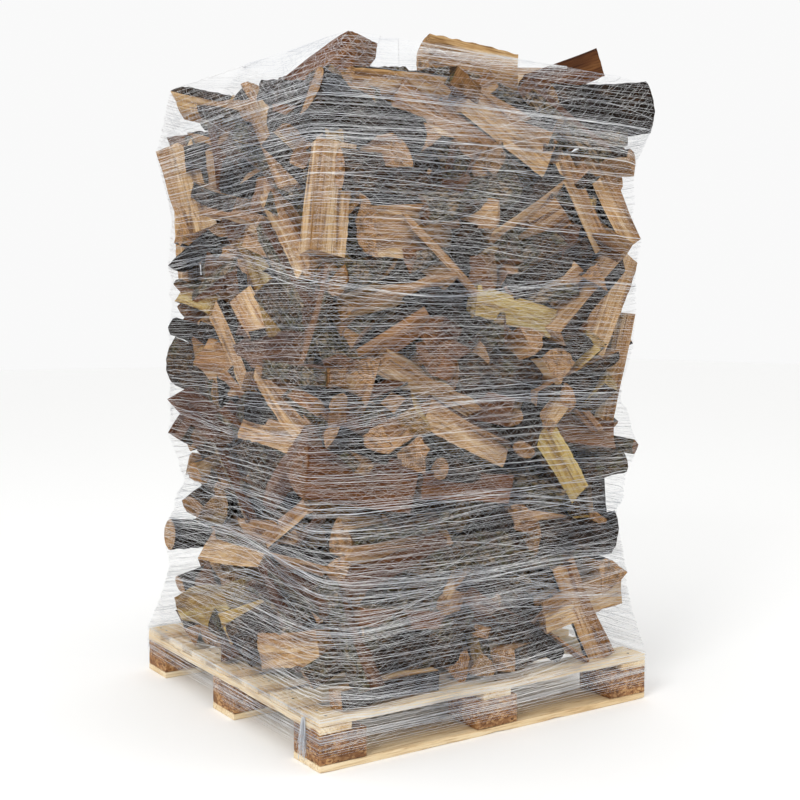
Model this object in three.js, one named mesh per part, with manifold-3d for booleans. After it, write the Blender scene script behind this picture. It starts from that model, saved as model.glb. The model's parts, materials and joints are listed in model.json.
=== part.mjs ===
// A pallet of split firewood held by wrapped netting: short logs tipped
// loosely on a nine-block pallet, a knitted net wound round the load and round
// the pallet's edge, and a few loose logs lying on top.
//
// Millimetres, +Z up. The origin is the middle of the pallet on the floor. +X
// runs along the runners and deck boards, +Y across them.

import * as THREE from 'three';
import { mergeVertices } from 'three/addons/utils/BufferGeometryUtils.js';
import Module from 'manifold-3d';

// Driving dimensions
const PALLET_SIDE = 1140;
const GAP = 0.3;             // left between pieces that rest on each other

const RUNNER = { width: 140, thickness: 18 };
const BLOCK = { side: 140, height: 80 };
const STRINGER = { width: 95, thickness: 20 };
const DECK = { width: 100, thickness: 20, count: 7 };

const LOAD = {
  halfWidth: 515,            // of the heap between its standing-out logs
  waist: 30,                 // how far the heap draws in at its waist
  waistHeight: 460,
  waistSpread: 190,
  shoulderHeight: 1640,
  crownHeight: 1850,
  roughness: 14,             // lumps of the heap's surface
  squareness: 9,             // power of the rounded-square outline
  lumpsAround: [7, 11],      // lumps in one turn round the heap
  lumpsUp: [0.021, 0.033],   // how fast the lumps wind upwards, radians a millimetre
  columns: 40,
  rows: 13,
};

const CROWN = {
  steps: 4,
  roundness: 0.6,            // powers that shape the top's round shoulder
  rise: 0.8,
};

const LOG = {
  taper: 0.06,               // change of a log's section from its middle to an end
  cutLean: 0.09,             // slope of the saw cuts at its ends
  arcSegments: 6,
  slabBulge: 0.2,            // of a slab's bark sides, as a share of its thickness
};

const NET = {
  bottom: 100,
  top: 1780,
  rows: 21,
  clearance: 3,              // between the net and what it is wound round
  thickness: 0.006,          // as a share of the half width
  cornerRadius: 0.015,
};

const POCKET_SCALE = 1.02;   // room that the heap leaves round a named log

// Heights of the pallet's layers
const BLOCK_BASE = RUNNER.thickness + GAP;
const STRINGER_BASE = RUNNER.thickness + BLOCK.height + GAP;
const DECK_BASE = RUNNER.thickness + BLOCK.height + STRINGER.thickness + GAP;
const DECK_TOP = RUNNER.thickness + BLOCK.height + STRINGER.thickness + DECK.thickness;
const NET_ROW = (NET.top - NET.bottom) / NET.rows;

// Colours
const NEW_BOARD = 0xd9c49c;
const PRESSED_CHIPS = 0x8a6038;
const PALE_WOOD = 0xd8b48c;
const YELLOW_WOOD = 0xcdb674;
const BROWN_WOOD = 0x9a6236;
const GREY_BARK = 0x5a4c3e;
const NET_WHITE = 0xdfe6ee;

const { degToRad, lerp } = THREE.MathUtils;
const wasm = await Module();
wasm.setup();

// ---------------------------------------------------------------------------
// Helpers

function material(color, roughness = 0.85) {
  return new THREE.MeshStandardMaterial({ color, roughness, metalness: 0 });
}

function addMesh(parent, name, geometry, color) {
  const mesh = new THREE.Mesh(geometry, material(color));
  mesh.name = name;
  parent.add(mesh);
  return mesh;
}

// A repeatable random number from 0 to 1 for each whole number.
function scatter(index) {
  const value = Math.sin(index * 12.9898 + 4.1414) * 43758.5453;
  return value - Math.floor(value);
}

function positionOnly(geometry) {
  const bare = geometry.clone();
  bare.deleteAttribute('normal');
  bare.deleteAttribute('uv');
  return mergeVertices(bare, 1e-3);
}

function toManifold(geometry) {
  const merged = positionOnly(geometry);
  return new wasm.Manifold(new wasm.Mesh({
    numProp: 3,
    vertProperties: new Float32Array(merged.attributes.position.array),
    triVerts: new Uint32Array(merged.index.array),
  }));
}

function fromManifold(solid) {
  const { vertProperties, triVerts } = solid.getMesh();
  const geometry = new THREE.BufferGeometry();
  geometry.setAttribute('position', new THREE.BufferAttribute(vertProperties, 3));
  geometry.setIndex(new THREE.BufferAttribute(triVerts, 1));
  geometry.computeVertexNormals();
  return geometry;
}

// Moves every vertex of a geometry by a function that changes it in place.
function reshape(geometry, change) {
  const positions = geometry.attributes.position;
  const point = new THREE.Vector3();
  for (let i = 0; i < positions.count; i += 1) {
    point.fromBufferAttribute(positions, i);
    change(point);
    positions.setXYZ(i, point.x, point.y, point.z);
  }
  geometry.computeVertexNormals();
  return geometry;
}

// ---------------------------------------------------------------------------
// Pallet

function board(parent, name, size, centre, color) {
  const mesh = addMesh(parent, name, new THREE.BoxGeometry(...size), color);
  mesh.position.set(...centre);
}

function makePallet() {
  const pallet = new THREE.Group();
  const outer = PALLET_SIDE / 2;
  const rowNames = ['near', 'middle', 'far'];
  const columnNames = ['left', 'centre', 'right'];
  rowNames.forEach((row, j) => {
    const y = (j - 1) * (outer - BLOCK.side / 2);
    board(pallet, `runner_${row}`, [PALLET_SIDE, RUNNER.width, RUNNER.thickness],
      [0, y, RUNNER.thickness / 2], NEW_BOARD);
    columnNames.forEach((column, i) => {
      const x = (i - 1) * (outer - BLOCK.side / 2);
      const height = BLOCK.height - GAP;
      board(pallet, `block_${row}_${column}`, [BLOCK.side, BLOCK.side, height],
        [x, y, BLOCK_BASE + height / 2], PRESSED_CHIPS);
    });
  });
  columnNames.forEach((column, i) => {
    const x = (i - 1) * (outer - STRINGER.width / 2);
    const thickness = STRINGER.thickness - GAP;
    board(pallet, `stringer_${column}`, [STRINGER.width, PALLET_SIDE, thickness],
      [x, 0, STRINGER_BASE + thickness / 2], NEW_BOARD);
  });
  const pitch = (PALLET_SIDE - DECK.width) / (DECK.count - 1);
  for (let k = 0; k < DECK.count; k += 1) {
    const y = -outer + DECK.width / 2 + k * pitch;
    const thickness = DECK.thickness - GAP;
    board(pallet, `deck_board_${k + 1}`, [PALLET_SIDE, DECK.width, thickness],
      [0, y, DECK_BASE + thickness / 2], NEW_BOARD);
  }
  return pallet;
}

// ---------------------------------------------------------------------------
// Logs. A section lies across the log, with its bark side towards +X. "shows"
// gives the turn about the log's axis that brings a face of it outwards.

// A wedge split from the stem: two flat faces that meet at the pith, and bark.
function wedge(radius, spread) {
  const half = degToRad(spread / 2);
  const shape = new THREE.Shape();
  shape.moveTo(0, 0);
  shape.lineTo(radius * Math.cos(half), -radius * Math.sin(half));
  shape.absarc(0, 0, radius, -half, half, false);
  return { shape, shows: { bark: 0, split: 90 + spread / 2, edge: 180 } };
}

// A stem split once down the middle.
function half(radius) {
  const shape = new THREE.Shape();
  shape.absarc(0, 0, radius, -Math.PI / 2, Math.PI / 2, false);
  return { shape, shows: { bark: 0, split: 180 } };
}

// A thin stem left round.
function round(radius) {
  const shape = new THREE.Shape();
  shape.absarc(0, 0, radius, 0, Math.PI, false);
  shape.absarc(0, 0, radius, Math.PI, 2 * Math.PI, false);
  return { shape, shows: { bark: 0 } };
}

// A flat piece from across the stem, with bark left on its two narrow sides.
function slab(width, thickness) {
  const bulge = thickness * LOG.slabBulge;
  const x = width / 2;
  const y = thickness / 2;
  const shape = new THREE.Shape();
  shape.moveTo(-x, -y);
  shape.lineTo(x, -y);
  shape.lineTo(x + bulge, 0);
  shape.lineTo(x, y);
  shape.lineTo(-x, y);
  shape.lineTo(-x - bulge, 0);
  return { shape, shows: { split: 90, bark: 0 } };
}

const OUTWARD = {
  right: new THREE.Vector3(0, -1, 0),
  left: new THREE.Vector3(-1, 0, 0),
  up: new THREE.Vector3(0, 0, 1),
};

// One log. "at" is its middle; "heading" turns its axis from +X towards +Y and
// "rise" lifts it; "faces" is the side of the load that "shows" looks to.
const LOGS = [
  // The long side along the runners, from the top down.
  { name: 'log_top_right_bark', at: [455, -462, 1776], heading: -12, rise: 7, length: 330,
    section: wedge(112, 95), faces: 'right', shows: 'bark', color: GREY_BARK },
  { name: 'log_high_broad', at: [78, -490, 1690], heading: 3, rise: -24, length: 335,
    section: wedge(108, 75), faces: 'right', shows: 'split', color: PALE_WOOD },
  { name: 'log_corner_steep_upper', at: [476, -490, 1520], heading: -4, rise: -57, length: 325,
    section: wedge(82, 60), faces: 'right', shows: 'split', color: PALE_WOOD },
  { name: 'log_corner_steep_lower', at: [352, -502, 1492], heading: 3, rise: -56, length: 300,
    section: wedge(66, 50), faces: 'right', shows: 'split', color: PALE_WOOD },
  { name: 'log_dark_cap', at: [-368, -482, 1684], heading: -4, rise: -19, length: 325,
    section: half(72), faces: 'right', shows: 'bark', color: GREY_BARK },
  { name: 'log_upright_face', at: [-500, -470, 1462], heading: 10, rise: 82, length: 290,
    section: wedge(118, 72), faces: 'right', shows: 'split', color: PALE_WOOD },
  { name: 'log_half_round', at: [-248, -478, 1378], heading: 17, rise: 2, length: 320,
    section: half(68), faces: 'right', shows: 'split', color: PALE_WOOD },
  { name: 'log_corner_panel', at: [440, -493, 1212], heading: -2, rise: 63, length: 320,
    section: wedge(108, 68), faces: 'right', shows: 'split', color: PALE_WOOD },
  { name: 'log_long_taper', at: [-282, -500, 1226], heading: -3, rise: 14, length: 335,
    section: wedge(84, 62), faces: 'right', shows: 'edge', color: PALE_WOOD },
  { name: 'log_yellow_high', at: [92, -506, 1172], heading: 4, rise: -12, length: 300,
    section: slab(84, 40), faces: 'right', shows: 'split', color: YELLOW_WOOD },
  { name: 'log_end_out', at: [228, -378, 1005], heading: -84, rise: 4, length: 325,
    section: wedge(112, 88), faces: 'up', shows: 'bark', color: PALE_WOOD },
  { name: 'log_corner_upright', at: [500, -512, 1010], heading: -6, rise: 76, length: 330,
    section: wedge(62, 42), faces: 'right', shows: 'edge', color: PALE_WOOD },
  { name: 'log_bright_diagonal', at: [-190, -504, 978], heading: 2, rise: -26, length: 335,
    section: wedge(88, 58), faces: 'right', shows: 'edge', color: PALE_WOOD },
  { name: 'log_tan_diagonal', at: [-66, -498, 842], heading: 5, rise: -25, length: 325,
    section: wedge(80, 62), faces: 'right', shows: 'split', color: PALE_WOOD },
  { name: 'log_yellow_low', at: [268, -506, 736], heading: -3, rise: -55, length: 245,
    section: slab(86, 38), faces: 'right', shows: 'split', color: YELLOW_WOOD },
  { name: 'log_brown_wedge', at: [-402, -474, 742], heading: -4, rise: -10, length: 330,
    section: wedge(138, 66), faces: 'right', shows: 'split', color: BROWN_WOOD },
  { name: 'log_brown_long', at: [-62, -494, 690], heading: 4, rise: -6, length: 325,
    section: wedge(78, 60), faces: 'right', shows: 'split', color: BROWN_WOOD },
  { name: 'log_broad_pair', at: [-282, -470, 548], heading: 2, rise: -3, length: 335,
    section: wedge(112, 92), faces: 'right', shows: 'edge', color: PALE_WOOD },
  { name: 'log_low_right', at: [368, -478, 322], heading: 4, rise: 9, length: 325,
    section: wedge(104, 80), faces: 'right', shows: 'split', color: PALE_WOOD },
  { name: 'log_low_thin', at: [-262, -492, 345], heading: 3, rise: -9, length: 320,
    section: slab(50, 34), faces: 'right', shows: 'split', color: BROWN_WOOD },
  { name: 'log_low_round', at: [-235, -458, 238], heading: 2, rise: -6, length: 330,
    section: round(54), faces: 'right', shows: 'bark', color: GREY_BARK },
  // The side across the runners, from the top down.
  { name: 'log_far_corner_top', at: [-392, 372, 1818], heading: -74, rise: -14, length: 330,
    section: wedge(104, 78), faces: 'up', shows: 'bark', color: GREY_BARK },
  { name: 'log_side_strip_upper', at: [-500, -190, 1628], heading: -88, rise: -52, length: 320,
    section: wedge(64, 46), faces: 'left', shows: 'edge', color: PALE_WOOD },
  { name: 'log_side_strip_middle', at: [-492, -270, 1398], heading: -93, rise: -44, length: 330,
    section: wedge(74, 52), faces: 'left', shows: 'split', color: PALE_WOOD },
  { name: 'log_side_strip_yellow', at: [-504, -138, 1236], heading: -90, rise: -55, length: 330,
    section: wedge(62, 44), faces: 'left', shows: 'edge', color: YELLOW_WOOD },
  { name: 'log_far_corner_upright', at: [-470, 448, 1440], heading: -90, rise: -86, length: 335,
    section: wedge(82, 52), faces: 'left', shows: 'split', color: PALE_WOOD },
  { name: 'log_side_pale', at: [-504, 52, 1080], heading: -91, rise: -44, length: 300,
    section: slab(70, 34), faces: 'left', shows: 'split', color: PALE_WOOD },
  { name: 'log_far_corner_bark', at: [-446, 374, 985], heading: -86, rise: -13, length: 330,
    section: wedge(122, 84), faces: 'left', shows: 'bark', color: GREY_BARK },
  { name: 'log_side_diagonal', at: [-488, -250, 938], heading: -89, rise: -31, length: 335,
    section: wedge(80, 58), faces: 'left', shows: 'split', color: PALE_WOOD },
  { name: 'log_far_corner_round', at: [-378, 452, 446], heading: 176, rise: 5, length: 320,
    section: round(46), faces: 'up', shows: 'bark', color: GREY_BARK },
  { name: 'log_side_low', at: [-468, -262, 252], heading: -88, rise: 14, length: 320,
    section: wedge(98, 76), faces: 'left', shows: 'split', color: PALE_WOOD },
  // On top: one under the net's edge, then the loose ones.
  { name: 'log_ridge', at: [-412, -304, 1804], heading: -78, rise: 18, length: 335,
    section: wedge(106, 84), faces: 'left', shows: 'split', color: PALE_WOOD },
  { name: 'loose_log_mossy', at: [64, -330, 1872], heading: 2, rise: -3, length: 320,
    section: half(68), faces: 'right', shows: 'split', color: GREY_BARK },
  { name: 'loose_log_wedge', at: [425, -326, 1906], heading: -12, rise: 21, length: 270,
    section: wedge(88, 58), faces: 'right', shows: 'split', color: BROWN_WOOD },
  { name: 'loose_log_tan', at: [405, -158, 1908], heading: -22, rise: 4, length: 325,
    section: wedge(104, 82), faces: 'up', shows: 'edge', color: PALE_WOOD },
  { name: 'loose_log_far', at: [-120, 190, 1872], heading: 62, rise: -3, length: 325,
    section: wedge(96, 86), faces: 'up', shows: 'split', color: PALE_WOOD },
];

// A straight piece of the stem: its thin end is a little smaller, and the saw
// cuts at its two ends lean by a few degrees.
function logGeometry(log, index) {
  const geometry = new THREE.ExtrudeGeometry(log.section.shape, {
    depth: log.length,
    curveSegments: LOG.arcSegments,
    bevelEnabled: false,
  });
  geometry.center();
  const taper = lerp(-LOG.taper, LOG.taper, scatter(index));
  const leanX = lerp(-LOG.cutLean, LOG.cutLean, scatter(index + LOGS.length));
  const leanY = lerp(-LOG.cutLean, LOG.cutLean, scatter(index + 2 * LOGS.length));
  return reshape(geometry, (point) => {
    const along = point.z / (log.length / 2);
    point.z += (point.x * leanX + point.y * leanY) * along;
    point.x *= 1 + taper * along;
    point.y *= 1 + taper * along;
  });
}

// Turns a log so that its length lies along the axis and the side of it that
// "shows" looks outwards.
function logTurn(log) {
  const heading = degToRad(log.heading);
  const rise = degToRad(log.rise);
  const axis = new THREE.Vector3(
    Math.cos(heading) * Math.cos(rise), Math.sin(heading) * Math.cos(rise), Math.sin(rise));
  const outward = OUTWARD[log.faces].clone();
  outward.addScaledVector(axis, -outward.dot(axis)).normalize();
  outward.applyAxisAngle(axis, degToRad(log.section.shows[log.shows]));
  const across = new THREE.Vector3().crossVectors(axis, outward);
  return new THREE.Matrix4().makeBasis(outward, across, axis);
}

function makeLogs() {
  const logs = new THREE.Group();
  LOGS.forEach((log, index) => {
    const mesh = addMesh(logs, log.name, logGeometry(log, index), log.color);
    mesh.position.set(...log.at);
    mesh.quaternion.setFromRotationMatrix(logTurn(log));
  });
  logs.updateMatrixWorld(true);
  return logs;
}

// ---------------------------------------------------------------------------
// Heap: the other logs, several hundred of them, as one lumpy solid.

function heapHalfWidth(height) {
  const fromWaist = (height - LOAD.waistHeight) / LOAD.waistSpread;
  return LOAD.halfWidth - LOAD.waist * Math.exp(-fromWaist * fromWaist);
}

// Radius of a rounded square of half width 1 in a given direction.
function squareRadius(angle) {
  const power = LOAD.squareness;
  const sum = Math.abs(Math.cos(angle)) ** power + Math.abs(Math.sin(angle)) ** power;
  return sum ** (-1 / power);
}

function heapProfile() {
  const base = DECK_TOP + GAP;
  const profile = [new THREE.Vector2(0, base)];
  for (let k = 0; k <= LOAD.rows; k += 1) {
    const height = lerp(base, LOAD.shoulderHeight, k / LOAD.rows);
    profile.push(new THREE.Vector2(heapHalfWidth(height), height));
  }
  for (let k = 1; k <= CROWN.steps; k += 1) {
    const turn = (k / CROWN.steps) * (Math.PI / 2);
    const reach = LOAD.halfWidth * Math.cos(turn) ** CROWN.roundness;
    const height = lerp(LOAD.shoulderHeight, LOAD.crownHeight, Math.sin(turn) ** CROWN.rise);
    profile.push(new THREE.Vector2(k === CROWN.steps ? 0 : reach, height));
  }
  return profile;
}

function makeHeap(logs) {
  const geometry = new THREE.LatheGeometry(heapProfile(), LOAD.columns);
  geometry.rotateX(Math.PI / 2);
  reshape(geometry, (point) => {
    const angle = Math.atan2(point.y, point.x);
    const lump = Math.sin(angle * LOAD.lumpsAround[0] + point.z * LOAD.lumpsUp[0])
      + Math.sin(angle * LOAD.lumpsAround[1] - point.z * LOAD.lumpsUp[1]);
    const reach = Math.hypot(point.x, point.y);
    const scale = squareRadius(angle) * (1 + (lump * LOAD.roughness) / 2 / LOAD.halfWidth);
    point.x *= reach > 1 ? scale : 1;
    point.y *= reach > 1 ? scale : 1;
  });
  let heap = toManifold(geometry);
  logs.children.forEach((log) => {
    const pocket = log.geometry.clone().scale(POCKET_SCALE, POCKET_SCALE, POCKET_SCALE);
    heap = heap.subtract(toManifold(pocket.applyMatrix4(log.matrixWorld)));
  });
  const whole = heap.decompose().sort((a, b) => b.volume() - a.volume())[0];
  const group = new THREE.Group();
  addMesh(group, 'log_pile', fromManifold(whole), GREY_BARK);
  return group;
}

// ---------------------------------------------------------------------------
// Net: one thin sleeve round everything, open at its top and bottom.

// Points spread over the edges of every mesh in a group.
function surfacePoints(group) {
  const points = [];
  const steps = 6;
  const corners = [new THREE.Vector3(), new THREE.Vector3(), new THREE.Vector3()];
  group.traverse((mesh) => {
    if (!mesh.isMesh) return;
    const flat = mesh.geometry.index ? mesh.geometry.toNonIndexed() : mesh.geometry;
    const positions = flat.attributes.position;
    for (let i = 0; i < positions.count; i += 3) {
      corners.forEach((corner, k) => {
        corner.fromBufferAttribute(positions, i + k).applyMatrix4(mesh.matrixWorld);
      });
      for (let side = 0; side < 3; side += 1) {
        for (let s = 0; s < steps; s += 1) {
          points.push(corners[side].clone().lerp(corners[(side + 1) % 3], s / steps));
        }
      }
    }
  });
  return points;
}

// How far the net reaches each way, row by row.
function netReach(points) {
  const rows = [];
  for (let k = 0; k <= NET.rows; k += 1) {
    const height = NET.bottom + k * NET_ROW;
    const near = points.filter((point) => Math.abs(point.z - height) <= NET_ROW);
    const xs = near.map((point) => point.x);
    const ys = near.map((point) => point.y);
    rows.push({
      left: NET.clearance - Math.min(...xs),
      right: NET.clearance + Math.max(...xs),
      near: NET.clearance - Math.min(...ys),
      far: NET.clearance + Math.max(...ys),
    });
  }
  return rows;
}

// A square of half width "size" with rounded corners.
function roundedSquare(size, path) {
  const radius = NET.cornerRadius;
  const inner = size - radius;
  const quarter = Math.PI / 2;
  [[1, 1], [-1, 1], [-1, -1], [1, -1]].forEach(([x, y], k) => {
    path.absarc(x * inner, y * inner, radius, k * quarter, (k + 1) * quarter, false);
  });
  return path;
}

function makeNet(load) {
  const shape = roundedSquare(1 + NET.thickness, new THREE.Shape());
  shape.holes.push(roundedSquare(1, new THREE.Path()));
  const geometry = new THREE.ExtrudeGeometry(shape, {
    depth: NET.rows,
    steps: NET.rows,
    curveSegments: 3,
    bevelEnabled: false,
  });
  const rows = netReach(surfacePoints(load));
  reshape(geometry, (point) => {
    const row = rows[Math.round(point.z)];
    point.x *= point.x > 0 ? row.right : row.left;
    point.y *= point.y > 0 ? row.far : row.near;
    point.z = NET.bottom + point.z * NET_ROW;
  });
  const group = new THREE.Group();
  addMesh(group, 'net_wrap', geometry, NET_WHITE);
  return group;
}

// ---------------------------------------------------------------------------

const firewood = new THREE.Group();
firewood.name = 'firewood_pallet';
const pallet = makePallet();
pallet.updateMatrixWorld(true);
const logs = makeLogs();
const heap = makeHeap(logs);
const load = new THREE.Group();
load.add(pallet, logs, heap);
load.updateMatrixWorld(true);
firewood.add(load, makeNet(load));

export default firewood;
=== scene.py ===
import json
import math
from functools import partial

import bpy
import bmesh
import numpy as np
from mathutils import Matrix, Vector


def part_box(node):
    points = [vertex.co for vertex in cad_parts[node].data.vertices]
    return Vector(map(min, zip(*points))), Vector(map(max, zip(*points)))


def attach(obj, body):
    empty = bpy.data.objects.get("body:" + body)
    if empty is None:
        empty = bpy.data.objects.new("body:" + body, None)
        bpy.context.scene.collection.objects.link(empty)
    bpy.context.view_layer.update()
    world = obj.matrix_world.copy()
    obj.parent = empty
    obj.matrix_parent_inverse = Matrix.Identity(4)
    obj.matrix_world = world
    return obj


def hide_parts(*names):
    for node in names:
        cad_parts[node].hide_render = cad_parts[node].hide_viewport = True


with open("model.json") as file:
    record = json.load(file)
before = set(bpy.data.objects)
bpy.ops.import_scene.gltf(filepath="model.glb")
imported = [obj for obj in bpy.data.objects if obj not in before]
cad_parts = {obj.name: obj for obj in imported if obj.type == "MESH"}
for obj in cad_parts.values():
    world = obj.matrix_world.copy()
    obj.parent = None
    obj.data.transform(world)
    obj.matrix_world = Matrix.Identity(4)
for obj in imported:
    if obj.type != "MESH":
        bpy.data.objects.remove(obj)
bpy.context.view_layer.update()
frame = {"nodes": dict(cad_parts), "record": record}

bl_info = {
    "name": "Firewood Pallet",
    "version": (1, 0, 0),
    "blender": (4, 5, 0),
    "location": "View3D > Sidebar > Firewood",
    "description": "Builds a net-wrapped pallet of loosely tipped split firewood round its packed frame",
    "category": "Add Mesh",
}

MM = 0.001
SEED = 418
NODES = frame["nodes"]
SLOT_OF = {part["node"]: part["material_slot"] for part in frame["record"]["subparts"]}
PALLET_NODES = [name for name in NODES if name.startswith(("runner_", "stringer_", "deck_board_"))]
BLOCK_NODES = [name for name in NODES if name.startswith("block_")]
LOG_NODES = sorted(name for name in NODES if name.startswith(("log_", "loose_log_")) and name != "log_pile")
PALLET_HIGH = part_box("deck_board_7")[1]
PALLET_HALF = PALLET_HIGH.x
DECK_TOP = PALLET_HIGH.z
HEAP_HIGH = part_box("log_pile")[1]
SPLIT, BARK, END = 0, 1, 2          # material slots of every log
TINT = {"data_type": "RGBA", "blend_type": "MULTIPLY"}


# ---------------------------------------------------------------------------
# Small helpers

def linear(hex_colour):
    """An sRGB hex colour as linear RGBA."""
    value = hex_colour.lstrip("#")
    channels = [int(value[i:i + 2], 16) / 255 for i in (0, 2, 4)]
    return [c / 12.92 if c <= 0.04045 else ((c + 0.055) / 1.055) ** 2.4 for c in channels] + [1.0]


def add_node(tree, kind, settings=None, **inputs):
    """Adds a node, sets its properties, and fills or links its inputs.

    An input is named by its label, or by its number after an underscore. Its value is a plain
    one, an output, or a node, whose first output in use is linked. "stops" are a ramp's, as
    (place, hex colour or grey value).
    """
    node = tree.nodes.new("ShaderNode" + kind)
    settings = dict(settings or {})
    stops = settings.pop("stops", ())
    for name, value in settings.items():
        setattr(node, name, value)
    for index, (place, colour) in enumerate(stops):
        elements = node.color_ramp.elements
        if index == 0:
            elements.remove(elements[-1])
        element = elements.new(place) if index else elements[0]
        element.position = place
        element.color = linear(colour) if isinstance(colour, str) else [colour] * 3 + [1.0]
    for name, value in inputs.items():
        key = int(name[1:]) if name.startswith("_") else name.replace("_", " ")
        if isinstance(value, bpy.types.Node):
            value = first_output(value)
        if isinstance(value, bpy.types.NodeSocket):
            tree.links.new(value, node.inputs[key])
        else:
            node.inputs[key].default_value = value
    return node


def first_output(node):
    """A node's first output in use."""
    return next(output for output in node.outputs if output.enabled)


def new_material(name, **finish):
    """A material, its shader with the finish's values, and add_node for its tree."""
    material = bpy.data.materials.new(name)
    material.use_nodes = True
    tree = material.node_tree
    shader = tree.nodes["Principled BSDF"]
    for label, value in finish.items():
        shader.inputs[label.replace("_", " ")].default_value = value
    return material, shader, partial(add_node, tree)


def cover(shader, colour, bump=None):
    """Gives a material's shader its colour and its relief."""
    tree = shader.id_data
    tree.links.new(first_output(colour), shader.inputs["Base Color"])
    if bump:
        tree.links.new(first_output(bump), shader.inputs["Normal"])


def smooth(value):
    """A soft step from 0 to 1 as the value does the same."""
    value = np.clip(value, 0.0, 1.0)
    return value * value * (3 - 2 * value)


def wavy(points, scale, seed):
    """A smooth repeatable field, mostly from -1 to 1, over 3-D points: a few crossed waves."""
    waves, calm = 5, 3.0
    rng = np.random.default_rng(seed)
    total = np.zeros(len(points))
    for _ in range(waves):
        direction = rng.normal(size=3)
        direction /= np.linalg.norm(direction)
        wave = rng.uniform(0.6, 1.6) * 2 * math.pi / scale
        total += np.sin(points @ direction * wave + rng.uniform(0, 6.28))
    return total / calm


def mesh_object(name, parts, materials, attributes=()):
    """Joins mesh parts (dicts of verts, faces, slots and attributes) into one object."""
    verts = np.concatenate([part["verts"] for part in parts])
    faces = []
    offset = 0
    for part in parts:
        faces.extend([tuple(index + offset for index in face) for face in part["faces"]])
        offset += len(part["verts"])
    mesh = bpy.data.meshes.new(name)
    mesh.from_pydata(verts.tolist(), [], faces)
    for material in materials:
        mesh.materials.append(material)
    slots = np.concatenate([part["slots"] for part in parts]).astype(np.int32)
    mesh.polygons.foreach_set("material_index", slots)
    for attribute, kind in attributes:
        data = np.concatenate([part[attribute] for part in parts]).astype(np.float32)
        layer = mesh.attributes.new(attribute, kind, "POINT")
        layer.data.foreach_set("vector" if kind == "FLOAT_VECTOR" else "value", data.ravel())
    mesh.validate()
    mesh.update()
    made = bpy.data.objects.new(name, mesh)
    bpy.context.scene.collection.objects.link(made)
    return made


def shade_by_angle(made, degrees):
    """Smooth shading, with edges sharper than an angle kept crisp."""
    mesh = made.data
    mesh.polygons.foreach_set("use_smooth", [True] * len(mesh.polygons))
    mesh.set_sharp_from_angle(angle=math.radians(degrees))


def place_piece(made, slot, *nodes):
    """Puts a piece on the part's one body and hides the CAD nodes it stands for. Its slot is not used."""
    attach(made, "root")
    if nodes:
        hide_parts(*nodes)


# ---------------------------------------------------------------------------
# Logs

LOG_ATTRIBUTES = (("grain", "FLOAT_VECTOR"), ("tone", "FLOAT"))
FIBRE_STRETCH = 0.07                # how slowly the torn surface changes along the log
BOW = 6.0 * MM                      # how far a log's middle may stand out of line
TWIST = math.radians(9)             # how much a log may turn from end to end
PITH_CALM = 30 * MM                 # the surface is smoother nearer the pith than this
CRISP_ANGLE = 38                    # edges of a log sharper than this stay crisp, in degrees


def wedge_section(radius, spread, steps):
    """A wedge from the pith out to the bark: outline, and which edges carry bark."""
    turns = np.linspace(-spread / 2, spread / 2, steps + 1)
    arc = np.stack([np.cos(turns), np.sin(turns)], 1) * radius
    outline = np.concatenate([[[0.0, 0.0]], arc])
    barked = [False] + [True] * steps + [False]
    return outline, barked, np.zeros(2)


def half_section(radius, steps):
    """A stem split once down the middle."""
    turns = np.linspace(-math.pi / 2, math.pi / 2, steps + 1)
    outline = np.stack([np.cos(turns), np.sin(turns)], 1) * radius
    return outline, [True] * steps + [False], np.zeros(2)


def round_section(radius, steps):
    """A thin stem left round."""
    turns = np.linspace(0, 2 * math.pi, steps, endpoint=False)
    outline = np.stack([np.cos(turns), np.sin(turns)], 1) * radius
    return outline, [True] * steps, np.zeros(2)


def inner_section(width, thickness, lean):
    """A piece from inside the stem: three split faces and a narrow one with bark."""
    outline = np.array([
        [-width / 2, -thickness / 2],
        [width / 2, -thickness / 2 + lean],
        [width / 2 - lean, thickness / 2],
        [-width / 2 + lean, thickness / 2 - lean / 2],
    ])
    return outline, [False, True, False, False], np.array([-width * 0.7, 0.0])


def resample(outline, barked, spacing):
    """Splits each edge of an outline into equal short ones, about as long as the spacing."""
    points, kinds = [], []
    for index, start in enumerate(outline):
        end = outline[(index + 1) % len(outline)]
        pieces = max(1, int(round(np.linalg.norm(end - start) / spacing)))
        for step in range(pieces):
            points.append(start + (end - start) * step / pieces)
            kinds.append(barked[index])
    return np.array(points), np.array(kinds)


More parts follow.
